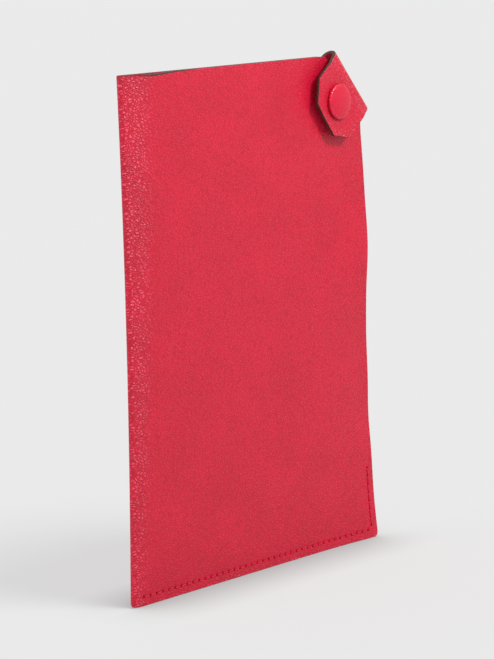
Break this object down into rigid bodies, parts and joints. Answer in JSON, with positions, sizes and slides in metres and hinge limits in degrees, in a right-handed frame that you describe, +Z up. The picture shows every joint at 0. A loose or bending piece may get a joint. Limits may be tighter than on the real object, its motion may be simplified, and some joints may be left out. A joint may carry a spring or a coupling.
{
  "type": "phone wallet case",
  "caption": "Flat upright leather sleeve folded at one side, sewn in an L, with a diagonal strap tab that closes over its cut corner on a leather-covered snap.",
  "frame": {"origin": "centre of the case's box in X and Y, at the height of the foot edge", "axes": "+Z up along the spine, +Y out of the back face, so the front with its tab faces -Y and the spine is at -X"},
  "size_m": [0.1256, 0.0082, 0.1718],
  "materials": {
    "outer_leather": "satin, fine pebble grain",
    "lining_leather": "matte, smooth",
    "painted_edge": "satin edge paint",
    "seam_thread": "waxed",
    "snap_metal": "nickel plated"
  },
  "bodies": {
    "case": {"front_panel": "outer_leather", "spine_fold": "outer_leather", "back_panel": "outer_leather", "front_lining": "lining_leather", "spine_lining": "lining_leather", "back_lining": "lining_leather", "card_pocket": "lining_leather", "top_thread": "seam_thread", "bobbin_thread": "seam_thread", "stud_disc": "lining_leather", "snap_stud": "snap_metal", "stud_rivet": "snap_metal"},
    "bend": {"strap_bend": "outer_leather"},
    "tab": {"strap_tab": "outer_leather", "tab_lining": "lining_leather", "tab_disc": "lining_leather", "snap_socket": "snap_metal", "socket_spring": "snap_metal", "cap_shell": "snap_metal", "cap_cover": "outer_leather"}
  },
  "joints": [
    {"name": "strap_root_fold", "type": "hinge", "parent": "case", "child": "bend", "pos_m": [0.05337, 0.00293, 0.16106], "axis": [-0.6528, 0, 0.7576], "range_deg": [0, 90]},
    {"name": "tab_fold", "type": "hinge", "parent": "bend", "child": "tab", "pos_m": [0.05337, -0.00093, 0.16106], "axis": [-0.6528, 0, 0.7576], "range_deg": [0, 90]}
  ],
  "couplings": [
    {"joint": "tab_fold", "follows": "strap_root_fold", "ratio": 1}
  ]
}
